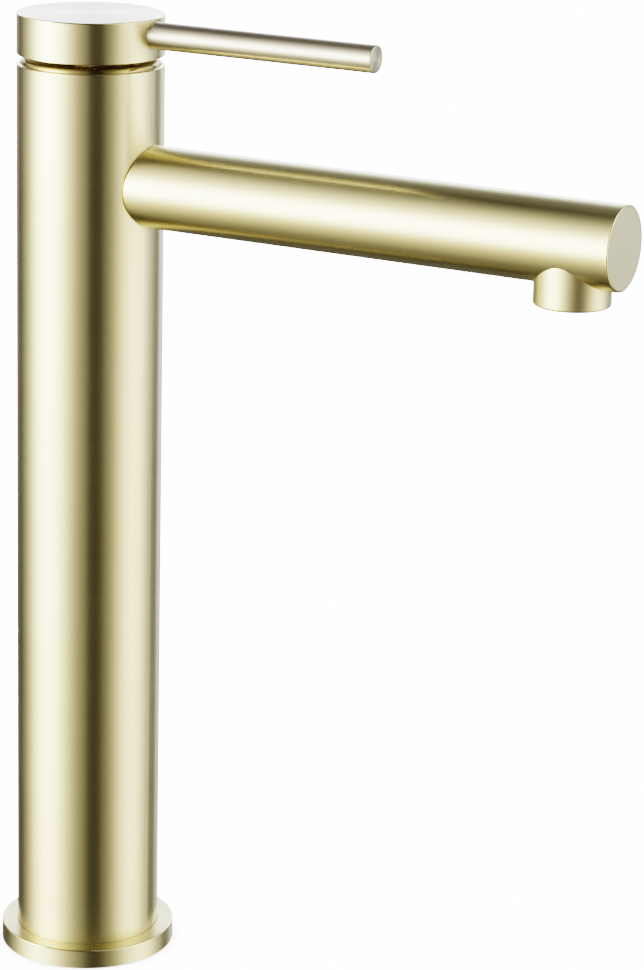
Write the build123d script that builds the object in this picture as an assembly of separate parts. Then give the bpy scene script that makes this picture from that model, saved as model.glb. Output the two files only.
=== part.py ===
from build123d import *
import os
from math import cos, sin, sqrt, tan, radians

# Single-lever bathroom mixer faucet for a wash basin, made from one slim upright column with
# a long straight spout. Millimetres. The origin is the centre of the base flange's underside,
# +Z is up, and the spout and the lever point along +X. A 35 mm ceramic disc cartridge sits in
# the head of the column: lifting the lever slides the moving disc, turning it mixes hot and cold.

# ---- overall sizes ----
body_d = 45.0               # column and handle cap
body_top = 284.7            # height of the column's rim above the deck
cap_gap = 2.8               # open ring between the column and the handle cap
cap_height = 12.5
flange_rim = 5.0            # base flange all round the column
flange_height = 6.0
spout_d = 25.2
spout_reach = 161.5         # column axis to the centre of the water outlet
spout_overhang = 15.5       # outlet centre to the end of the spout
collar_d = 22.6             # aerator collar under the spout
collar_drop = 5.6           # how far the collar stands below the spout tube
collar_edge = 0.8           # rounded lower edge of the collar
lever_d = 8.35
lever_reach = 97.0          # column axis to the tip of the lever
lever_drop = 4.95           # lever axis below the top of the cap

# ---- walls, edges and clearances ----
column_wall = 2.75          # round the cartridge
column_ledge = 0.75         # step inside the column that the valve body stands on
spout_wall = 1.6
fit = 0.05                  # between two pieces that are assembled and then stand still
running_fit = 0.08          # between a shaft and its bore
free_gap = 0.3              # between pieces that pass each other
edge = 0.4                  # rounded edge on the visible turned pieces
fine_edge = 0.25            # broken edge where two pieces face each other
foot_gap = 0.15             # shadow line where the column enters the flange
seam = 0.15                 # shadow line where the spout meets the column
root_edge = 0.35            # rounded edge of the spout beside that line

# ---- handle movement ----
lift_angle = 25.0           # lever travel from closed to full flow
pivot_depth = 14.0          # stem pivot below the column's rim
relief_gap = 0.5            # between the cap's hollow and the column's rim
cap_roof = 2.0
boss_r = 6.5                # socket for the stem, inside the cap
boss_lift = 3.5             # underside of the boss above the underside of the cap
stem_w = 6.5                # square stem
stem_foot = 5.2             # square part of the stem below the pivot
stem_tip_gap = 2.0          # stem end below the cap's roof
pin_r = 1.25                # stem pivot pin
finger_arm = 9.0            # pivot to the ball that pushes the disc carrier
finger_ball_r = 2.0
finger_r = 1.3

# ---- cartridge ----
valve_wall = 2.1
valve_drop = 5.2            # valve body's top below the column's rim
valve_length = 23.0         # valve body below the cartridge seat
nut_thread_h = 6.5
nut_head_gap = 0.6          # between the nut's head and the valve body's wall line
nut_wall_gain = 0.9         # thread depth of the retaining nut into the valve body
nut_head = 3.5
neck_rise = 1.5             # cartridge neck above the valve body
cover_rise = 1.8            # cover ring above the column's rim
rim_lip = 1.1               # thin lip at the column's rim, round the cover ring
lip_depth = 2.0             # the cover ring rests on the step inside the lip
cover_opening_gap = 0.3     # between the cover ring and the lever's socket at full lift
neck_r = 14.6               # upper part of the cartridge housing
neck_bore_r = 12.6
housing_wall = 1.45
disc_slide_gap = 0.1        # between the two lapped ceramic discs
fixed_disc_h = 3.0
moving_disc_h = 2.5
carrier_h = 4.8
carrier_rise = 2.2          # carrier's top above the middle of the stem's ball
rotor_flange_h = 2.8
cartridge_base_h = 4.2
seal_squeeze = 0.3          # port seals hold the cartridge this far off its seat

# ---- waterways ----
block_length = 15.5         # block in the spout's root, and the nipple under it
screw_rise = 6.5            # spout screw above the spout's axis
nipple_r = 4.5
nipple_bore_r = 2.6
waterway_r = 3.5
waterway_wall = 0.9
bore_floor = 1.0            # least wall between two waterways
riser_r = 4.0
riser_wall = 1.0
riser_x = 2.0
riser_y = 9.0
inlet_r = 4.46              # minor radius of an M10 x 1 hose thread
inlet_depth = 10.0
riser_stop = 2.0            # wall that a riser stands on, above its inlet or below its port
riser_socket = 9.5          # depth of a riser's socket in the valve body
ring_inset = 3.5            # O-ring groove from a socket's mouth
stud_r = 3.32               # minor radius of an M8 fixing stud thread
stud_depth = 14.0
stud_x = -9.5
plug_height = 21.5
plug_recess = 0.5           # base plug's underside above the deck face
foot_depth = 2.0            # column foot sunk in the flange
flange_bore_gap = 0.5
ring_w = 1.8                # O-ring section, along its axis
ring_h = 1.0                # O-ring section, across its axis
gasket_inset = 2.0          # from the flange's edge
gasket_w = 3.5
gasket_h = 1.5

# ---- aerator ----
aerator_r = 8.7             # M18.5 x 1 recessed aerator
aerator_h = 6.0
aerator_recess = 1.0
aerator_wall = 1.5
aerator_seal_h = 1.4
chamber_wall = 2.0
mesh_hole_r = 0.55
mesh_pitch = 1.95
mesh_rings = 3

# ---- heights and radii that follow ----
body_r = body_d / 2
flange_r = body_r + flange_rim
gasket_r = flange_r - gasket_inset
column_bore_r = body_r - column_wall
lower_bore_r = column_bore_r - column_ledge
column_foot_z = flange_height - foot_depth
cap_bottom = body_top + cap_gap
cap_top = cap_bottom + cap_height
pivot_z = body_top - pivot_depth
rim_reach = sqrt(body_r**2 + pivot_depth**2)    # pivot to the column's outer rim
relief_r = rim_reach + relief_gap
lever_z = cap_top - lever_drop
boss_bottom = cap_bottom + boss_lift
stem_top = cap_top - cap_roof - stem_tip_gap
set_screw_z = (boss_bottom + stem_top) / 2
set_screw_r = 2.0
set_screw_length = 4.0
set_screw_start = stem_w / 2 + fit              # screw tip against the stem
set_screw_end = set_screw_start + set_screw_length

valve_r = column_bore_r - fit
seat_r = valve_r - valve_wall
housing_r = seat_r - running_fit * 2
chamber_r = housing_r - housing_wall
nut_r = seat_r + nut_wall_gain
valve_top = body_top - valve_drop
nut_bottom = valve_top - nut_thread_h
nut_top = valve_top + nut_head
nut_head_r = seat_r - nut_head_gap
neck_top = valve_top + neck_rise
finger_z = pivot_z - finger_arm
carrier_top = finger_z + carrier_rise
carrier_bottom = carrier_top - carrier_h
moving_disc_bottom = carrier_bottom - moving_disc_h
fixed_disc_top = moving_disc_bottom - disc_slide_gap
housing_bottom = fixed_disc_top - fixed_disc_h
base_bottom = housing_bottom - cartridge_base_h
seat_z = base_bottom - seal_squeeze
rotor_bottom = carrier_top + free_gap
rotor_flange_top = rotor_bottom + rotor_flange_h
disc_travel = finger_arm * sin(radians(lift_angle))
disc_start = -disc_travel / 2                   # the moving discs sit behind centre when closed

spout_r = spout_d / 2
spout_bore_r = spout_r - spout_wall
water_z = seat_z - bore_floor - nipple_r        # axis of the waterway into the spout
spout_z = water_z + spout_bore_r - nipple_r - bore_floor
spout_end = spout_reach + spout_overhang
valve_bottom = seat_z - valve_length
collar_r = collar_d / 2
collar_bottom = spout_z - spout_r - collar_drop
aerator_bottom = collar_bottom + aerator_recess
aerator_top = aerator_bottom + aerator_h
seal_top = aerator_top + aerator_seal_h

column_end = body_r + block_length              # nipple and block reach this far into the spout
screw_z = spout_z + screw_rise
screw_r = 2.5
screw_head_r = 4.2
nipple_root = 11.5


# ---- shapes used again and again ----
def upright(radius, low, high, x=0, y=0):
    """Round bar standing between two heights."""
    return Pos(x, y, (low + high) / 2) * Cylinder(radius, high - low)


def tube(outer_r, inner_r, low, high, x=0, y=0):
    """Round tube standing between two heights."""
    return upright(outer_r, low, high, x, y) - upright(inner_r, low - 1, high + 1, x, y)


def level(radius, start, end, z, y=0):
    """Round bar lying along X."""
    return Pos((start + end) / 2, y, z) * Rot(0, 90, 0) * Cylinder(radius, end - start)


def across(radius, reach, z):
    """Round bar lying along Y, centred on the column's axis."""
    return Pos(0, 0, z) * Rot(90, 0, 0) * Cylinder(radius, reach * 2)


def block(x_span, y_span, z_span):
    """Box between two coordinates on each axis."""
    sizes = [high - low for low, high in (x_span, y_span, z_span)]
    middle = [(low + high) / 2 for low, high in (x_span, y_span, z_span)]
    return Pos(*middle) * Box(*sizes)


def round_edges(shape, z, radius):
    """The circular edges of one radius at one height."""
    return [
        e for e in shape.edges().filter_by(GeomType.CIRCLE)
        if abs(e.center().Z - z) < 0.01 and abs(e.radius - radius) < 0.01
    ]


def end_edges(shape, x, radius):
    """The circular edges of one radius at one place along X."""
    return [
        e for e in shape.edges().filter_by(GeomType.CIRCLE)
        if abs(e.arc_center.X - x) < 0.01 and abs(e.radius - radius) < 0.01
    ]


# ---- base ----
def make_base_flange():
    flange = upright(flange_r, 0, flange_height)
    flange = fillet(round_edges(flange, flange_height, flange_r), edge)
    flange -= upright(lower_bore_r + flange_bore_gap, -1, flange_height + 1)
    flange -= upright(body_r + foot_gap, column_foot_z, flange_height + 1)
    return flange - tube(gasket_r, gasket_r - gasket_w, -1, gasket_h)


def make_base_gasket():
    return tube(gasket_r, gasket_r - gasket_w, 0, gasket_h)


def riser_places():
    return [(riser_x, -riser_y), (riser_x, riser_y)]


plug_top = plug_recess + plug_height
lower_socket_z = plug_recess + inlet_depth + riser_stop
lower_ring_z = plug_top - ring_inset
upper_socket_z = valve_bottom + riser_socket
upper_ring_z = valve_bottom + ring_inset


def make_base_plug():
    plug = upright(lower_bore_r - fit, plug_recess, plug_top)
    plug -= upright(stud_r, 0, plug_recess + stud_depth, stud_x)
    for x, y in riser_places():
        plug -= upright(inlet_r, 0, plug_recess + inlet_depth, x, y)
        plug -= upright(riser_r - riser_wall, 0, plug_top, x, y)
        plug -= upright(riser_r + fit, lower_socket_z, plug_top + 1, x, y)
        plug -= upright(riser_r + ring_h, lower_ring_z, lower_ring_z + ring_w, x, y)
    return plug


def make_riser(place):
    x, y = place
    return tube(riser_r, riser_r - riser_wall, lower_socket_z, upper_socket_z - riser_stop, x, y)


def make_riser_rings():
    rings = []
    for z in (lower_ring_z, upper_ring_z):
        for x, y in riser_places():
            rings.append(tube(riser_r + ring_h, riser_r, z, z + ring_w, x, y))
    return Compound(children=rings)


# ---- column ----
def make_body_column():
    column = upright(body_r, column_foot_z, body_top)
    column = chamfer(round_edges(column, body_top, body_r), fine_edge)
    column -= upright(body_r - rim_lip, body_top - lip_depth, body_top + 1)
    column -= upright(column_bore_r, valve_bottom, body_top + 1)
    column -= upright(lower_bore_r, column_foot_z - 1, valve_bottom + 1)
    column -= level(nipple_r + fit * 2, 0, body_r + 5, water_z)
    column -= level(screw_r + fit * 2, 0, body_r + 5, screw_z)
    return column - level(screw_head_r + fit, 0, column_bore_r + fit, screw_z) - screw_cone(fit)


def screw_cone(clearance):
    """Countersunk head of the spout screw, or its seat."""
    depth = screw_head_r - screw_r
    cone = Cone(screw_head_r + clearance, screw_r + clearance, depth)
    return Pos(column_bore_r + fit + depth / 2, 0, screw_z) * Rot(0, 90, 0) * cone


# ---- valve body and cartridge ----
outlet_x = -4.5
outlet_r = 2.8
inlet_port = 5.5
inlet_port_r = 2.2


def port_places():
    """Outlet port and the two inlet ports, each with its radius."""
    return [
        (outlet_x, 0, outlet_r),
        (inlet_port, -inlet_port, inlet_port_r),
        (inlet_port, inlet_port, inlet_port_r),
    ]


def make_valve_body():
    body = upright(valve_r, valve_bottom, valve_top)
    body -= upright(seat_r, seat_z, valve_top + 1)
    body -= upright(nut_r + fit, nut_bottom, valve_top + 1)
    body -= upright(outlet_r, water_z, seat_z + 1, outlet_x)
    body -= level(outlet_r, outlet_x, nipple_root + 1, water_z)
    body -= level(nipple_r + fit, nipple_root, valve_r + 1, water_z)
    for side, (x, y) in zip((-1, 1), riser_places()):
        body -= upright(riser_r + fit, valve_bottom - 1, upper_socket_z, x, y)
        body -= upright(riser_r + ring_h, upper_ring_z, upper_ring_z + ring_w, x, y)
        body -= upright(inlet_port_r, upper_socket_z - riser_stop, seat_z + 1, inlet_port, side * inlet_port)
    return body


seal_wall = 1.2
seal_groove = 1.2


def make_cartridge_base():
    base = upright(housing_r, base_bottom, housing_bottom)
    for x, y, r in port_places():
        base -= upright(r, base_bottom - 1, housing_bottom + 1, x, y)
        base -= upright(r + seal_wall, base_bottom - 1, base_bottom + seal_groove, x, y)
    return base


def make_port_seals():
    seals = [tube(r + seal_wall, r, seat_z, base_bottom + seal_groove, x, y) for x, y, r in port_places()]
    return Compound(children=seals)


def make_fixed_disc():
    disc = upright(chamber_r - fit, housing_bottom, fixed_disc_top)
    for x, y, r in port_places():
        disc -= upright(r, housing_bottom - 1, fixed_disc_top + 1, x, y)
    return disc


def make_housing():
    shoulder = nut_bottom
    housing = upright(housing_r, housing_bottom, shoulder) + upright(neck_r, shoulder, neck_top)
    housing -= upright(chamber_r, housing_bottom - 1, rotor_flange_top + free_gap)
    return housing - upright(neck_bore_r, rotor_flange_top, neck_top + 1)


nut_key_w = 3.0
nut_key_depth = 1.6
nut_key_h = 1.5
nut_keys = 6


def make_retaining_nut():
    nut = upright(nut_r, nut_bottom, valve_top) + upright(nut_head_r, valve_top, nut_top)
    nut -= upright(neck_r + fit * 8, nut_bottom - 1, nut_top + 1)
    for k in range(nut_keys):
        key = block(
            (nut_head_r - nut_key_depth / 2, nut_head_r + 1),
            (-nut_key_w / 2, nut_key_w / 2),
            (nut_top - nut_key_h, nut_top + 1),
        )
        nut -= Rot(0, 0, k * 360 / nut_keys) * key
    return nut


def back_swing(x, z):
    """How far behind the axis a point at the back of the handle comes at full lift."""
    return x * cos(radians(lift_angle)) + (z - pivot_z) * sin(radians(lift_angle))


def make_cover_ring():
    top = body_top + cover_rise
    outer = body_r - rim_lip - free_gap
    ring = upright(outer, body_top - lip_depth, top)
    ring = fillet(round_edges(ring, top, outer), cover_rise)
    ring += upright(column_bore_r - free_gap, valve_top + free_gap, body_top - lip_depth)
    ring -= upright(nut_head_r + fit, valve_top, nut_top)
    boss_swing = back_swing(boss_r, boss_bottom)
    screw_swing = back_swing(set_screw_end, set_screw_z - set_screw_r)
    opening_r = max(boss_swing, screw_swing) + cover_opening_gap
    return ring - upright(opening_r, valve_top, top + 1)


# ---- rotor: turns in the neck of the housing ----
slot_y = stem_w / 2 + free_gap


def make_rotor():
    rotor = upright(neck_bore_r - running_fit, rotor_bottom, neck_top)
    rotor += upright(chamber_r - running_fit, rotor_bottom, rotor_flange_top)
    back = (neck_top - pivot_z) * tan(radians(lift_angle)) + stem_w / 2 / cos(radians(lift_angle))
    front = finger_arm * sin(radians(lift_angle)) + finger_ball_r
    near = stem_w / 2 + free_gap * 2
    rotor -= block((-back - free_gap, near), (-slot_y, slot_y), (pivot_z, neck_top + 1))
    rotor -= block((-near, front + free_gap * 2), (-slot_y, slot_y), (rotor_bottom - 1, pivot_z))
    rotor -= across(pin_r, body_r, pivot_z)
    rotor -= tube(neck_bore_r + 1, neck_bore_r - running_fit - ring_h, rotor_ring_z, rotor_ring_z + ring_w)
    for side in (-1, 1):
        rotor += block(
            (-guide_half_length, guide_half_length),
            sorted((side * (carrier_half_w + disc_slide_gap), side * (carrier_half_w + guide_w))),
            (carrier_bottom + free_gap, rotor_bottom),
        )
    return rotor


rotor_ring_z = neck_top - 5.0
carrier_half_w = chamber_r - 6.0        # half width across the carrier's flats
guide_w = 2.9
guide_half_length = 8.0


def make_rotor_ring():
    inner = neck_bore_r - running_fit - ring_h
    return tube(neck_bore_r - running_fit, inner, rotor_ring_z, rotor_ring_z + ring_w)


def make_stem_pin():
    return across(pin_r, neck_bore_r - 2.5, pivot_z)


# ---- sliding discs ----
pocket_edge = 0.7           # the mixing pocket stops this far from the closed inlet ports
pocket_half_w = 7.0
pocket_depth = 1.2


def make_disc_carrier():
    reach = chamber_r - disc_travel / 2 - free_gap * 3
    carrier = upright(reach, carrier_bottom, carrier_top, disc_start)
    flats = block((-body_r, body_r), (-carrier_half_w, carrier_half_w), (carrier_bottom, carrier_top))
    slot_x = finger_ball_r + free_gap
    slot = block((-slot_x, slot_x), (-slot_y, slot_y), (carrier_bottom - 1, carrier_top + 1))
    return (carrier & flats) - slot


def make_moving_disc():
    reach = chamber_r - disc_travel / 2 - free_gap * 5
    disc = upright(reach, moving_disc_bottom, carrier_bottom, disc_start)
    pocket = block(
        (outlet_x - outlet_r - pocket_edge, inlet_port - inlet_port_r - pocket_edge),
        (-pocket_half_w, pocket_half_w),
        (moving_disc_bottom - 1, moving_disc_bottom + pocket_depth),
    )
    return disc - pocket


# ---- handle ----
def make_lever_stem():
    half = stem_w / 2
    stem = block((-half, half), (-half, half), (pivot_z - stem_foot, stem_top))
    stem = chamfer(stem.edges().group_by(Axis.Z)[-1], edge)
    stem += upright(finger_r, finger_z, pivot_z - stem_foot + fit)
    stem += Pos(0, 0, finger_z) * Sphere(finger_ball_r)
    return stem - across(pin_r + running_fit, stem_w, pivot_z)


def make_handle_cap():
    cap = upright(body_r, cap_bottom, cap_top)
    cap = fillet(round_edges(cap, cap_top, body_r), edge)
    cap = chamfer(round_edges(cap, cap_bottom, body_r), fine_edge)
    hollow = Pos(0, 0, pivot_z) * Sphere(relief_r)
    hollow &= upright(body_r, pivot_z, cap_top - cap_roof)
    cap -= hollow
    cap += upright(boss_r, boss_bottom, cap_top - cap_roof / 2)
    half = stem_w / 2 + fit
    cap -= block((-half, half), (-half, half), (cap_bottom, stem_top + fit))
    cap -= level(set_screw_r, -boss_r - 1, 0, set_screw_z)
    cap -= level(set_screw_r + free_gap, -body_r - 1, -boss_r, set_screw_z)
    cap -= level(lever_d / 2 + fit, body_r - lever_sink, body_r + 1, lever_z)
    return cap - level(lever_thread_r, boss_r, body_r, lever_z)


grub_key_r = 1.15
grub_key_depth = 2.0
screw_plug_length = 1.9
screw_plug_inset = 0.3
lever_sink = 1.5            # lever seated this deep in the cap's wall
lever_thread_r = 2.5
lever_thread_start = 13.0


def make_lever_rod():
    root = body_r - lever_sink
    rod = level(lever_d / 2, root, lever_reach, lever_z)
    rod = fillet(end_edges(rod, lever_reach, lever_d / 2), edge)
    return rod + level(lever_thread_r - fit, lever_thread_start, root, lever_z)


def make_set_screw():
    screw = level(set_screw_r - fit, -set_screw_end, -set_screw_start, set_screw_z)
    return screw - hex_socket(-set_screw_end)


def hex_socket(x):
    """2 mm hexagon socket that opens towards -X."""
    key = extrude(RegularPolygon(grub_key_r, 6), amount=grub_key_depth + 1)
    return Pos(x - 1, 0, set_screw_z) * Rot(0, 90, 0) * key


def make_screw_plug():
    outer = -body_r + screw_plug_inset
    return level(set_screw_r + free_gap - fit, outer, outer + screw_plug_length, set_screw_z)


# ---- spout ----
def make_spout_tube():
    spout = level(spout_r, 0, spout_end - end_cap_h, spout_z)
    spout -= level(spout_bore_r, -1, spout_end, spout_z)
    spout -= upright(body_r + seam, spout_z - body_d, spout_z + body_d)
    root = [e for e in spout.edges() if e.bounding_box().max.X < body_r + 1]
    outer_root = max(root, key=lambda e: e.bounding_box().size.Y)
    spout = fillet(outer_root, root_edge)
    return spout - upright(collar_r + fit, collar_bottom, collar_shoulder + fit, spout_reach)


end_cap_h = 0.8
# the collar's wide part ends inside the spout's wall, where its cylinder leaves the tube
shoulder_rise = 0.4
collar_shoulder = spout_z - sqrt(spout_r**2 - collar_r**2) + shoulder_rise


def make_end_cap():
    cap = level(spout_r, spout_end - end_cap_h, spout_end, spout_z)
    cap = fillet(end_edges(cap, spout_end, spout_r), edge)
    spigot_start = spout_reach + collar_r + free_gap
    return cap + level(spout_bore_r - fit, spigot_start, spout_end - end_cap_h, spout_z)


def make_spout_block():
    plug = level(spout_bore_r - fit, 0, column_end, spout_z)
    plug -= upright(body_r + fit / 2, spout_z - body_d, spout_z + body_d)
    plug -= level(nipple_r + fit, 0, column_end + 1, water_z)
    return plug - level(screw_r, 0, column_end - 3, screw_z)


screw_key_r = 1.7
screw_key_depth = 1.4


def make_spout_screw():
    head_x = column_bore_r + fit
    screw = level(screw_r - fit, head_x + 1, column_end - 4, screw_z) + screw_cone(0)
    key = extrude(RegularPolygon(screw_key_r, 6), amount=screw_key_depth, both=True)
    return screw - Pos(head_x, 0, screw_z) * Rot(0, 90, 0) * key


nipple_ring_x = body_r + 3.0
nipple_socket_x = body_r + 7.5


def make_nipple():
    nipple = level(nipple_r, nipple_root, column_end, water_z)
    nipple -= level(nipple_bore_r, nipple_root - 1, column_end + 1, water_z)
    nipple -= level(waterway_r + fit, nipple_socket_x, column_end + 1, water_z)
    return nipple - nipple_ring_shape(nipple_r + 1)


def nipple_ring_shape(outer):
    ring = level(outer, nipple_ring_x, nipple_ring_x + ring_w, water_z)
    return ring - level(nipple_r - ring_h * 0.8, nipple_ring_x - 1, nipple_ring_x + ring_w + 1, water_z)


def make_nipple_ring():
    return nipple_ring_shape(nipple_r)


def make_waterway():
    pipe = level(waterway_r, nipple_socket_x, spout_reach - aerator_r + 1, water_z)
    return pipe - level(waterway_r - waterway_wall, 0, spout_reach, water_z)


# ---- outlet ----
def make_collar():
    chamber_top = spout_z + 1
    inner_r = aerator_r - aerator_wall
    collar = upright(collar_r, collar_bottom, collar_shoulder, spout_reach)
    collar = fillet(round_edges(collar, collar_bottom, collar_r), collar_edge)
    collar += upright(inner_r + chamber_wall, collar_shoulder, chamber_top, spout_reach)
    collar -= upright(aerator_r + fit, collar_bottom - 1, seal_top, spout_reach)
    collar -= upright(inner_r, collar_bottom, chamber_top - chamber_wall, spout_reach)
    return collar - level(waterway_r + fit, spout_reach - collar_r - 1, spout_reach, water_z)


aerator_notch_w = 2.4
aerator_notch_h = 1.2
aerator_notches = 4


def make_aerator():
    shell = tube(aerator_r, aerator_r - aerator_wall, aerator_bottom, aerator_top, spout_reach)
    for k in range(aerator_notches):
        notch = block(
            (aerator_r - aerator_wall - 1, aerator_r + 1),
            (-aerator_notch_w / 2, aerator_notch_w / 2),
            (aerator_bottom - 1, aerator_bottom + aerator_notch_h),
        )
        shell -= Pos(spout_reach, 0, 0) * Rot(0, 0, 45 + k * 360 / aerator_notches) * notch
    return shell


mesh_h = 3.0
mesh_rise = 1.5             # insert above the aerator's lower edge


def make_aerator_insert():
    """Honeycomb-like plate: rings of small holes round a centre hole."""
    low = aerator_bottom + mesh_rise
    insert = upright(aerator_r - aerator_wall - fit, low, low + mesh_h, spout_reach)
    insert -= upright(mesh_hole_r, low - 1, low + mesh_h + 1, spout_reach)
    for ring in range(1, mesh_rings + 1):
        for k in range(6 * ring):
            hole = upright(mesh_hole_r, low - 1, low + mesh_h + 1, ring * mesh_pitch)
            insert -= Pos(spout_reach, 0, 0) * Rot(0, 0, k * 60 / ring) * hole
    return insert


def make_aerator_seal():
    return tube(aerator_r - fit, aerator_r - aerator_wall - 0.8, aerator_top, seal_top, spout_reach)


pieces = {
    "base_flange": make_base_flange(),
    "base_gasket": make_base_gasket(),
    "base_plug": make_base_plug(),
    "hot_riser_tube": make_riser(riser_places()[0]),
    "cold_riser_tube": make_riser(riser_places()[1]),
    "riser_o_rings": make_riser_rings(),
    "body_column": make_body_column(),
    "valve_body": make_valve_body(),
    "cartridge_base": make_cartridge_base(),
    "cartridge_port_seals": make_port_seals(),
    "fixed_ceramic_disc": make_fixed_disc(),
    "cartridge_housing": make_housing(),
    "retaining_nut": make_retaining_nut(),
    "cartridge_cover_ring": make_cover_ring(),
    "cartridge_rotor": make_rotor(),
    "rotor_o_ring": make_rotor_ring(),
    "stem_pin": make_stem_pin(),
    "disc_carrier": make_disc_carrier(),
    "moving_ceramic_disc": make_moving_disc(),
    "lever_stem": make_lever_stem(),
    "handle_cap": make_handle_cap(),
    "lever_rod": make_lever_rod(),
    "handle_set_screw": make_set_screw(),
    "set_screw_plug": make_screw_plug(),
    "spout_tube": make_spout_tube(),
    "spout_end_cap": make_end_cap(),
    "spout_block": make_spout_block(),
    "spout_screw": make_spout_screw(),
    "spout_nipple": make_nipple(),
    "nipple_o_ring": make_nipple_ring(),
    "spout_waterway": make_waterway(),
    "aerator_collar": make_collar(),
    "aerator_shell": make_aerator(),
    "aerator_insert": make_aerator_insert(),
    "aerator_seal": make_aerator_seal(),
}

os.makedirs("parts", exist_ok=True)
for name, shape in pieces.items():
    export_step(shape, f"parts/{name}.step")
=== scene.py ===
from math import cos, pi, radians, sin

import bmesh
import bpy
from mathutils import Matrix, Vector


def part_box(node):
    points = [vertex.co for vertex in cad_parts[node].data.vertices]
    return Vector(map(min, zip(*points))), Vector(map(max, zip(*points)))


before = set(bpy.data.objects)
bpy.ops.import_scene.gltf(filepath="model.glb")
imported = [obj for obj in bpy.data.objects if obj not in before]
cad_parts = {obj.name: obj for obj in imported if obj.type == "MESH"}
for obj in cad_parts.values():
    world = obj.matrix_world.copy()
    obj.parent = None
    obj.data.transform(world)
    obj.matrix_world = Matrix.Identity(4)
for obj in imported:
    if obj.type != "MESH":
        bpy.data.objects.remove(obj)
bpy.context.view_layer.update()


# ---- studio camera ----
# A long lens about a metre away, a little above the faucet's head and turned to its spout side.
# It leans by a degree, as the hand-levelled tripod does.
camera_turn = radians(117.8522)
camera_dip = radians(15.0966)
camera_roll = radians(1.2835)
level_reach = cos(camera_dip)
ahead = Vector((level_reach * cos(camera_turn), level_reach * sin(camera_turn), -sin(camera_dip)))
right = ahead.cross(Vector((0, 0, 1))).normalized()
up = right.cross(ahead)
leaned_right = right * cos(camera_roll) + up * sin(camera_roll)
leaned_up = up * cos(camera_roll) - right * sin(camera_roll)
camera_data = bpy.data.cameras.new("studio_camera")
camera_data.sensor_width = 36
camera_data.lens = 124.839
camera_data.shift_y = -0.0876
camera = bpy.data.objects.new("studio_camera", camera_data)
camera.matrix_world = Matrix((leaned_right, leaned_up, -ahead)).transposed().to_4x4()
camera.location = (0.53493, -0.85788, 0.45266)
bpy.context.scene.collection.objects.link(camera)
bpy.context.scene.camera = camera
bpy.context.scene.view_settings.view_transform = "Filmic"
bpy.context.scene.view_settings.look = "Medium High Contrast"


# ---- lamp tent ----
# Satin metal shows only what stands round it: a large soft lamp to the left, a taller one to the
# right, a cool one behind, the dark slot where the camera stands and the thin dark lamp poles.
def node(tree, kind, inputs=None, **settings):
    """One shader node. A socket among the inputs is wired in, any other value is set."""
    made = tree.nodes.new(kind)
    for name, value in settings.items():
        setattr(made, name, value)
    for socket, value in (inputs or {}).items():
        if isinstance(value, bpy.types.NodeSocket):
            tree.links.new(value, made.inputs[socket])
        else:
            made.inputs[socket].default_value = value
    return made


def sum_of(tree, operation, *values):
    """The result of one arithmetic step on sockets or numbers."""
    return node(tree, "ShaderNodeMath", dict(enumerate(values)), operation=operation).outputs[0]


def fade(tree, value, start, end, low=0.0, high=1.0):
    """Goes smoothly from low to high while the value goes from start to end."""
    inputs = {"Value": value, "From Min": start, "From Max": end, "To Min": low, "To Max": high}
    return node(tree, "ShaderNodeMapRange", inputs, interpolation_type="SMOOTHSTEP").outputs[0]


world = bpy.data.worlds.new("lamp_tent")
bpy.context.scene.world = world
world.use_nodes = True
tent = world.node_tree
tent.nodes.clear()
direction = node(tent, "ShaderNodeTexCoord").outputs["Generated"]
toward = node(tent, "ShaderNodeSeparateXYZ", {0: direction}).outputs
bearing = sum_of(tent, "ARCTAN2", toward["X"], sum_of(tent, "MULTIPLY", toward["Y"], -1.0))
height = sum_of(tent, "ARCSINE", toward["Z"])


def away_from(angle, middle, spread):
    """Squared distance of a direction from a middle, in spreads."""
    apart = sum_of(tent, "SUBTRACT", angle, radians(middle))
    apart = sum_of(tent, "WRAP", apart, pi, -pi)
    apart = sum_of(tent, "ABSOLUTE", sum_of(tent, "DIVIDE", apart, radians(spread)))
    return sum_of(tent, "POWER", apart, 2.0)


def soft_edge(apart):
    """One in the middle, and gone a few spreads away."""
    return sum_of(tent, "EXPONENT", sum_of(tent, "MULTIPLY", apart, -1.0))


def soft_lamp(middle, rise, wide, tall, brightness):
    """A lamp behind cloth: bright in the middle, fading out all round. Angles are in degrees."""
    apart = sum_of(tent, "ADD", away_from(bearing, middle, wide), away_from(height, rise, tall))
    return sum_of(tent, "MULTIPLY", soft_edge(apart), brightness)


def shaded(shade, depth):
    """What a shade of this depth leaves of the light."""
    return sum_of(tent, "SUBTRACT", 1.0, sum_of(tent, "MULTIPLY", shade, depth))


def dark_pole(middle, spread, depth):
    """What an upright pole before the cloth leaves of the light."""
    return shaded(soft_edge(away_from(bearing, middle, spread)), depth)


bulb = soft_lamp(-38, 3, 21, 17, 15.0)
bulb_cloth = soft_lamp(-34, 6, 33, 39, 4.2)
tall_lamp = soft_lamp(106, -2, 25, 42, 4.1)
back_lamp = soft_lamp(-160, 14, 60, 14, 4.0)
back_spill = soft_lamp(186, -12, 14, 20, 0.9)
pale_walls = soft_lamp(0, 0, 360, 40, 0.06)
light = 0.10
for lamp in (bulb, bulb_cloth, tall_lamp, back_lamp, back_spill, pale_walls):
    light = sum_of(tent, "ADD", light, lamp)
degrees = sum_of(tent, "DEGREES", bearing)
slot = sum_of(tent, "MULTIPLY", fade(tent, degrees, 25, 32), fade(tent, degrees, 56, 49))
for share in (shaded(slot, 0.7), dark_pole(161, 5, 0.85), dark_pole(-108, 12, 0.8)):
    light = sum_of(tent, "MULTIPLY", light, share)
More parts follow.
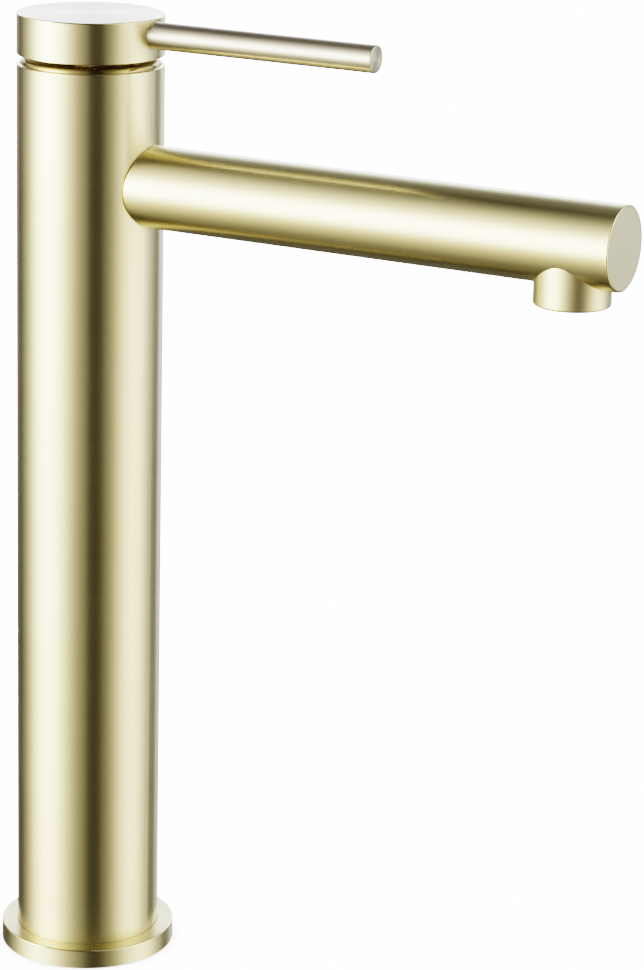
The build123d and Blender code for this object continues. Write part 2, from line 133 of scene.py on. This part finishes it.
# the light from behind is cooler, and the light from below is creamier
from_behind = node(tent, "ShaderNodeMix", {0: fade(tent, toward["Y"], 0.3, 0.8)}, data_type="RGBA")
from_behind.inputs["A"].default_value = (1.0, 1.0, 1.0, 1)
from_behind.inputs["B"].default_value = (0.93, 1.0, 1.18, 1)
from_below = node(tent, "ShaderNodeMix", {0: fade(tent, height, -0.22, -0.5)}, data_type="RGBA")
tent.links.new(from_behind.outputs["Result"], from_below.inputs["A"])
from_below.inputs["B"].default_value = (0.98, 0.94, 0.80, 1)
tent_light = node(tent, "ShaderNodeBackground", {"Color": from_below.outputs["Result"], "Strength": light})
backcloth_glow = 14.0
backcloth = node(tent, "ShaderNodeBackground", {"Color": (1, 1, 1, 1), "Strength": backcloth_glow})
seen = node(tent, "ShaderNodeLightPath").outputs["Is Camera Ray"]
mixed = node(tent, "ShaderNodeMixShader", {0: seen, 1: tent_light.outputs[0], 2: backcloth.outputs[0]})
node(tent, "ShaderNodeOutputWorld", {"Surface": mixed.outputs[0]})


# ---- floor ----
# A sheet of matt white board under the faucet, made to glow evenly white, with a faint painted shadow at
# the flange where its glow is dimmed.
def own_material(name):
    """A new material, its node tree and its main shader."""
    material = bpy.data.materials.new(name)
    material.use_nodes = True
    tree = material.node_tree
    return material, tree, tree.nodes["Principled BSDF"]


floor_reach = 3.0
floor_gap = 0.0003
painted_shadow_reach = 0.02
floor_mesh = bpy.data.meshes.new("floor")
floor_shape = bmesh.new()
bmesh.ops.create_grid(floor_shape, x_segments=8, y_segments=8, size=floor_reach)
floor_shape.to_mesh(floor_mesh)
floor_shape.free()
floor = bpy.data.objects.new("floor", floor_mesh)
floor.location.z = -floor_gap
floor.visible_glossy = False
floor.visible_diffuse = False
bpy.context.scene.collection.objects.link(floor)
board, board_tree, board_shader = own_material("matt_board")
board_shader.inputs["Base Color"].default_value = (0.9, 0.9, 0.9, 1)
board_shader.inputs["Roughness"].default_value = 0.9
# painted shadow: the board's glow drops from 12 to 2 where ambient occlusion finds the faucet close by
painted_shadow_nearness = node(board_tree, "ShaderNodeAmbientOcclusion", {"Distance": painted_shadow_reach}).outputs["AO"]
board_glow_painted_shadow = fade(board_tree, painted_shadow_nearness, 0.35, 1.0, 2.0, 12.0)
board_tree.links.new(board_glow_painted_shadow, board_shader.inputs["Emission Strength"])
board_shader.inputs["Emission Color"].default_value = (1, 1, 1, 1)
floor.data.materials.append(board)


# ---- base flange ----
# Turned brass ring that covers the tap hole, brushed round its axis and plated in satin gold.
# The column stands in its counterbore.
def finish_with(material, *names):
    """Gives CAD nodes a finish of their own."""
    for name in names:
        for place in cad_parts[name].material_slots:
            place.material = material


def turned_lines(tree, axis, middle, around, across):
    """Fine lines left by the brush: long round the axis, close together along it and across faces.
    Returns their noise, the place along the axis and the distance from it."""
    place = node(tree, "ShaderNodeTexCoord").outputs["Object"]
    place = node(tree, "ShaderNodeVectorMath", {0: place, 1: middle}, operation="SUBTRACT").outputs[0]
    parts = node(tree, "ShaderNodeSeparateXYZ", {0: place}).outputs
    along = parts[axis]
    first, second = [parts[name] for name in "XYZ" if name != axis]
    first_square = sum_of(tree, "MULTIPLY", first, first)
    second_square = sum_of(tree, "MULTIPLY", second, second)
    out = sum_of(tree, "SQRT", sum_of(tree, "ADD", first_square, second_square))
    lines = sum_of(tree, "MULTIPLY", sum_of(tree, "ADD", along, out), across)
    first = sum_of(tree, "MULTIPLY", first, around)
    second = sum_of(tree, "MULTIPLY", second, around)
    vector = node(tree, "ShaderNodeCombineXYZ", {0: first, 1: second, 2: lines}).outputs[0]
    inputs = {"Vector": vector, "Scale": 1.0, "Detail": 2.0, "Roughness": 0.6}
    return node(tree, "ShaderNodeTexNoise", inputs).outputs["Fac"], along, out


# brush marks to the metre, along the stroke and across it
fine_marks = (70, 5200)
broad_marks = (22, 800)
burnish_width = 0.0009
burnish_core = 0.0003
gold_tones = ((0.780, 0.656, 0.286, 1), (0.805, 0.686, 0.312, 1))


def brushed_gold(
    name, axis="Z", middle=(0, 0, 0), roughness=0.3, anisotropy=0.8, edges=(), grain=0.02,
    tones=gold_tones, face=None,
):
    """Satin gold plating over brass that was brushed round an axis, burnished bright on its edges.
    A face turned on the end has its own radius, added roughness and tone."""
    material, tree, shader = own_material(name)
    fine, along, out = turned_lines(tree, axis, middle, *fine_marks)
    broad = turned_lines(tree, axis, middle, *broad_marks)[0]
    place = node(tree, "ShaderNodeTexCoord").outputs["Object"]
    cloud = node(tree, "ShaderNodeTexNoise", {"Vector": place, "Scale": 30.0, "Detail": 3.0}).outputs["Fac"]
    burnish = 0.0
    for edge_along, edge_out in edges:
        rise = sum_of(tree, "POWER", sum_of(tree, "SUBTRACT", along, edge_along), 2.0)
        reach = sum_of(tree, "POWER", sum_of(tree, "SUBTRACT", out, edge_out), 2.0)
        apart = sum_of(tree, "SQRT", sum_of(tree, "ADD", rise, reach))
        burnish = sum_of(tree, "MAXIMUM", burnish, fade(tree, apart, burnish_width, burnish_core))
    tone = sum_of(tree, "ADD", sum_of(tree, "MULTIPLY", broad, 0.3), sum_of(tree, "MULTIPLY", cloud, 0.7))
    tone = fade(tree, tone, 0.3, 0.7, 0.0, 0.8)
    tone = sum_of(tree, "ADD", tone, sum_of(tree, "MULTIPLY", burnish, 0.3))
    metal = node(tree, "ShaderNodeMix", {0: tone}, data_type="RGBA")
    metal.inputs["A"].default_value = tones[0]
    metal.inputs["B"].default_value = tones[1]
    rough = sum_of(tree, "ADD", fade(tree, fine, 0.25, 0.75, -grain / 2, grain / 2), roughness)
    if face:
        face_radius, face_dullness, face_tone_painted_sheen = face
        inside = fade(tree, out, face_radius, face_radius - burnish_core)
        rough = sum_of(tree, "ADD", rough, sum_of(tree, "MULTIPLY", inside, face_dullness))
        # painted sheen: the face's paler tone stands in for the bright light it catches
        metal = node(tree, "ShaderNodeMix", {0: inside, "A": metal.outputs["Result"]}, data_type="RGBA")
        metal.inputs["B"].default_value = face_tone_painted_sheen
    tree.links.new(metal.outputs["Result"], shader.inputs["Base Color"])
    rough = sum_of(tree, "ADD", fade(tree, broad, 0.3, 0.7, -0.006, 0.006), rough)
    rough = sum_of(tree, "ADD", fade(tree, cloud, 0.3, 0.7, -0.012, 0.012), rough)
    rough = sum_of(tree, "SUBTRACT", rough, sum_of(tree, "MULTIPLY", burnish, 0.08))
    tree.links.new(rough, shader.inputs["Roughness"])
    shader.inputs["Metallic"].default_value = 1.0
    shader.inputs["Anisotropic"].default_value = anisotropy
    shader.inputs["Anisotropic Rotation"].default_value = 0.25
    shader.inputs["Coat Weight"].default_value = 0.7
    shader.inputs["Coat Roughness"].default_value = 0.12
    shader.inputs["Coat IOR"].default_value = 1.5
    tangent = node(tree, "ShaderNodeTangent", direction_type="RADIAL", axis=axis)
    tree.links.new(tangent.outputs[0], shader.inputs["Tangent"])
    relief = node(tree, "ShaderNodeBump", {"Height": fine, "Strength": grain, "Distance": 0.00001})
    tree.links.new(relief.outputs[0], shader.inputs["Normal"])
    return material


flange_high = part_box("base_flange")[1]
flange_edges = [(flange_high.z, flange_high.x)]
finish_with(brushed_gold("flange_gold", edges=flange_edges), "base_flange")


# ---- seals ----
# Moulded black rubber: the ring gasket under the flange, the O-rings on the tubes, nipple and
# rotor, the port seals of the cartridge and the washer above the aerator.
rubber, rubber_tree, rubber_shader = own_material("moulded_rubber")
rubber_place = node(rubber_tree, "ShaderNodeTexCoord").outputs["Object"]
skin_inputs = {"Vector": rubber_place, "Scale": 4000.0, "Detail": 2.0}
rubber_skin = node(rubber_tree, "ShaderNodeTexNoise", skin_inputs).outputs["Fac"]
bloom_inputs = {"Vector": rubber_place, "Scale": 180.0, "Detail": 4.0}
rubber_bloom = node(rubber_tree, "ShaderNodeTexNoise", bloom_inputs).outputs["Fac"]
rubber_tone = node(rubber_tree, "ShaderNodeMix", {0: rubber_bloom}, data_type="RGBA")
rubber_tone.inputs["A"].default_value = (0.012, 0.012, 0.013, 1)
rubber_tone.inputs["B"].default_value = (0.045, 0.044, 0.042, 1)
rubber_tree.links.new(rubber_tone.outputs["Result"], rubber_shader.inputs["Base Color"])
rubber_rough = fade(rubber_tree, rubber_bloom, 0.3, 0.7, 0.55, 0.75)
rubber_tree.links.new(rubber_rough, rubber_shader.inputs["Roughness"])
relief_inputs = {"Height": rubber_skin, "Strength": 0.3, "Distance": 0.00002}
rubber_relief = node(rubber_tree, "ShaderNodeBump", relief_inputs)
rubber_tree.links.new(rubber_relief.outputs[0], rubber_shader.inputs["Normal"])
finish_with(rubber, "base_gasket", "riser_o_rings", "nipple_o_ring", "rotor_o_ring")
finish_with(rubber, "cartridge_port_seals", "aerator_seal")


# ---- raw brass pieces ----
# Machined from bar and left bare, as only the inside of the faucet sees them: the base plug, the
# valve body with its retaining nut, the spout's block and nipple, and the lever's stem.
def machined_metal(name, dark, light, roughness, spread, lines=1800, relief=0.2):
    """Bare metal straight from the lathe, with tool marks and a few dull stains."""
    material, tree, shader = own_material(name)
    marks = turned_lines(tree, "Z", (0, 0, 0), 40, lines)[0]
    place = node(tree, "ShaderNodeTexCoord").outputs["Object"]
    stain_inputs = {"Vector": place, "Scale": 90.0, "Detail": 5.0}
    stains = node(tree, "ShaderNodeTexNoise", stain_inputs).outputs["Fac"]
    tone = node(tree, "ShaderNodeMix", {0: fade(tree, stains, 0.35, 0.65)}, data_type="RGBA")
    tone.inputs["A"].default_value = dark
    tone.inputs["B"].default_value = light
    tree.links.new(tone.outputs["Result"], shader.inputs["Base Color"])
    rough = sum_of(tree, "ADD", fade(tree, stains, 0.3, 0.7, spread, 0.0), roughness)
    rough = sum_of(tree, "ADD", fade(tree, marks, 0.3, 0.7, -0.04, 0.04), rough)
    tree.links.new(rough, shader.inputs["Roughness"])
    shader.inputs["Metallic"].default_value = 1.0
    bump = node(tree, "ShaderNodeBump", {"Height": marks, "Strength": relief, "Distance": 0.00002})
    tree.links.new(bump.outputs[0], shader.inputs["Normal"])
    return material


dark_brass = (0.58, 0.42, 0.18, 1)
light_brass = (0.80, 0.62, 0.31, 1)
raw_brass = machined_metal("raw_brass", dark_brass, light_brass, 0.28, 0.14)
finish_with(raw_brass, "base_plug", "valve_body", "retaining_nut", "lever_stem")
finish_with(raw_brass, "spout_block", "spout_nipple")


# ---- riser tubes ----
# Two drawn copper tubes that bring hot and cold water up the column to the valve body.
dark_copper = (0.48, 0.22, 0.13, 1)
light_copper = (0.86, 0.50, 0.36, 1)
drawn_copper = machined_metal("drawn_copper", dark_copper, light_copper, 0.26, 0.2, 300, 0.08)
finish_with(drawn_copper, "hot_riser_tube", "cold_riser_tube")


# ---- body column ----
# Thick brass tube, brushed round its axis while it turns, then plated in the same satin gold.
# Its rim under the handle cap is burnished.
column_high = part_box("body_column")[1]
column_edges = [(column_high.z, column_high.x)]
column_gold = brushed_gold("column_gold", roughness=0.3, anisotropy=0.8, edges=column_edges)
finish_with(column_gold, "body_column")


# ---- cartridge ----
# Moulded acetal housing, base and turning rotor, with the carrier that slides the upper disc.
# The two discs are sintered alumina, lapped so flat that water can't pass between them.
def moulded(name, dark, light, roughness, skin=1500.0):
    """Plastic with the fine matt skin of its mould and a slight cloudiness."""
    material, tree, shader = own_material(name)
    place = node(tree, "ShaderNodeTexCoord").outputs["Object"]
    grain_inputs = {"Vector": place, "Scale": skin, "Detail": 3.0}
    grain = node(tree, "ShaderNodeTexNoise", grain_inputs).outputs["Fac"]
    flow_inputs = {"Vector": place, "Scale": 70.0, "Detail": 2.0}
    flow = node(tree, "ShaderNodeTexNoise", flow_inputs).outputs["Fac"]
    tone = node(tree, "ShaderNodeMix", {0: fade(tree, flow, 0.3, 0.7)}, data_type="RGBA")
    tone.inputs["A"].default_value = dark
    tone.inputs["B"].default_value = light
    tree.links.new(tone.outputs["Result"], shader.inputs["Base Color"])
    rough = fade(tree, grain, 0.3, 0.7, roughness - 0.07, roughness + 0.07)
    tree.links.new(rough, shader.inputs["Roughness"])
    bump = node(tree, "ShaderNodeBump", {"Height": grain, "Strength": 0.15, "Distance": 0.00003})
    tree.links.new(bump.outputs[0], shader.inputs["Normal"])
    return material


acetal = moulded("white_acetal", (0.72, 0.72, 0.70, 1), (0.84, 0.84, 0.82, 1), 0.42)
finish_with(acetal, "cartridge_base", "cartridge_housing", "cartridge_rotor", "disc_carrier")
alumina = moulded("lapped_alumina", (0.80, 0.77, 0.71, 1), (0.88, 0.86, 0.81, 1), 0.16, 2600.0)
finish_with(alumina, "fixed_ceramic_disc", "moving_ceramic_disc")


# ---- steel fixings ----
# Stainless pin, grub screw and countersunk screw: bright, with faint turning marks.
stainless = machined_metal("stainless_steel", (0.50, 0.49, 0.47, 1), (0.66, 0.65, 0.63, 1), 0.22, 0.08)
finish_with(stainless, "stem_pin", "handle_set_screw", "spout_screw")


# ---- cover ring ----
# Turned brass ring over the cartridge, polished, with its gold painted dark as painted shade so the gap
# under the handle cap reads as a shadow line. It rests on the step inside the column's lip and shows only
# in that gap.
polished, polished_tree, polished_shader = own_material("polished_gold")
polish_lines = turned_lines(polished_tree, "Z", (0, 0, 0), 60, 4000)[0]
polish_place = node(polished_tree, "ShaderNodeTexCoord").outputs["Object"]
haze_inputs = {"Vector": polish_place, "Scale": 120.0, "Detail": 3.0}
polish_haze = node(polished_tree, "ShaderNodeTexNoise", haze_inputs).outputs["Fac"]
ring_painted_shade_tone = node(polished_tree, "ShaderNodeMix", {0: polish_haze}, data_type="RGBA")
# painted shade: both tones are dark so the ring reads as the shadow in the gap under the cap
ring_painted_shade_tone.inputs["A"].default_value = (0.30, 0.22, 0.07, 1)
ring_painted_shade_tone.inputs["B"].default_value = (0.42, 0.32, 0.11, 1)
polished_tree.links.new(ring_painted_shade_tone.outputs["Result"], polished_shader.inputs["Base Color"])
polish_rough = fade(polished_tree, polish_lines, 0.3, 0.7, 0.07, 0.13)
polished_tree.links.new(polish_rough, polished_shader.inputs["Roughness"])
polished_shader.inputs["Metallic"].default_value = 1.0
finish_with(polished, "cartridge_cover_ring")


# ---- handle cap ----
# Brass cap the width of the column, brushed round its side and with fine circles on top.
# It hides the cartridge and is clamped to the stem by a grub screw behind a small plug.
cap_low, cap_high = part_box("handle_cap")
cap_edges = [(cap_high.z, cap_high.x), (cap_low.z, cap_high.x)]
cap_gold = brushed_gold("cap_gold", roughness=0.3, anisotropy=0.8, edges=cap_edges)
finish_with(cap_gold, "handle_cap")
plug_low, plug_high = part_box("set_screw_plug")
plug_middle = (plug_low + plug_high) / 2
plug_gold = brushed_gold("plug_gold", axis="X", middle=plug_middle, roughness=0.3, anisotropy=0.4)
finish_with(plug_gold, "set_screw_plug")


# ---- lever ----
# Slim brass rod screwed into the cap and brushed round its own axis with a coarser belt, so its
# gold is duller and shows more grain.
lever_low, lever_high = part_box("lever_rod")
lever_middle = (lever_low + lever_high) / 2
lever_radius = (lever_high.z - lever_low.z) / 2
lever_edges = [(lever_high.x - lever_middle.x, lever_radius)]
lever_tones = ((0.61, 0.53, 0.35, 1), (0.66, 0.58, 0.39, 1))
lever_gold = brushed_gold("lever_gold", "X", lever_middle, 0.38, 0.8, lever_edges, 0.12, lever_tones)
finish_with(lever_gold, "lever_rod")


# ---- spout ----
# Brass tube with its root cut to the column's curve, brushed round its own axis, and closed by a
# flat disc whose face is left duller and painted paler, a painted sheen for the light it catches.
# A hidden screw from inside the column holds it.
spout_low, spout_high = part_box("spout_tube")
spout_middle = Vector((0, 0, (spout_low.z + spout_high.z) / 2))
spout_gold = brushed_gold("spout_gold", "X", spout_middle, 0.3, 0.8)
finish_with(spout_gold, "spout_tube")
disc_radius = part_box("spout_end_cap")[1].y
disc_edge = 0.0004
# the face's pale tone is a painted sheen; its added roughness is the real duller finish
disc_face_painted_sheen = (disc_radius - disc_edge, 0.25, (0.84, 0.75, 0.48, 1))
disc_gold = brushed_gold("disc_gold", "X", spout_middle, 0.25, 0.0, face=disc_face_painted_sheen)
finish_with(disc_gold, "spout_end_cap")
water_pipe = moulded("water_pipe", (0.78, 0.80, 0.80, 1), (0.86, 0.88, 0.88, 1), 0.34)
finish_with(water_pipe, "spout_waterway")


# ---- outlet ----
# Turned collar under the spout with a rounded lower edge, and the recessed aerator in it: a
# threaded shell and a plate of small holes, both moulded in grey plastic.
collar_low, collar_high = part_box("aerator_collar")
collar_middle = (collar_low + collar_high) / 2
collar_gold = brushed_gold("collar_gold", "Z", (collar_middle.x, 0, 0), 0.42, 0.5)
finish_with(collar_gold, "aerator_collar")
grey_plastic = moulded("aerator_plastic", (0.34, 0.35, 0.36, 1), (0.44, 0.45, 0.46, 1), 0.4)
finish_with(grey_plastic, "aerator_shell", "aerator_insert")
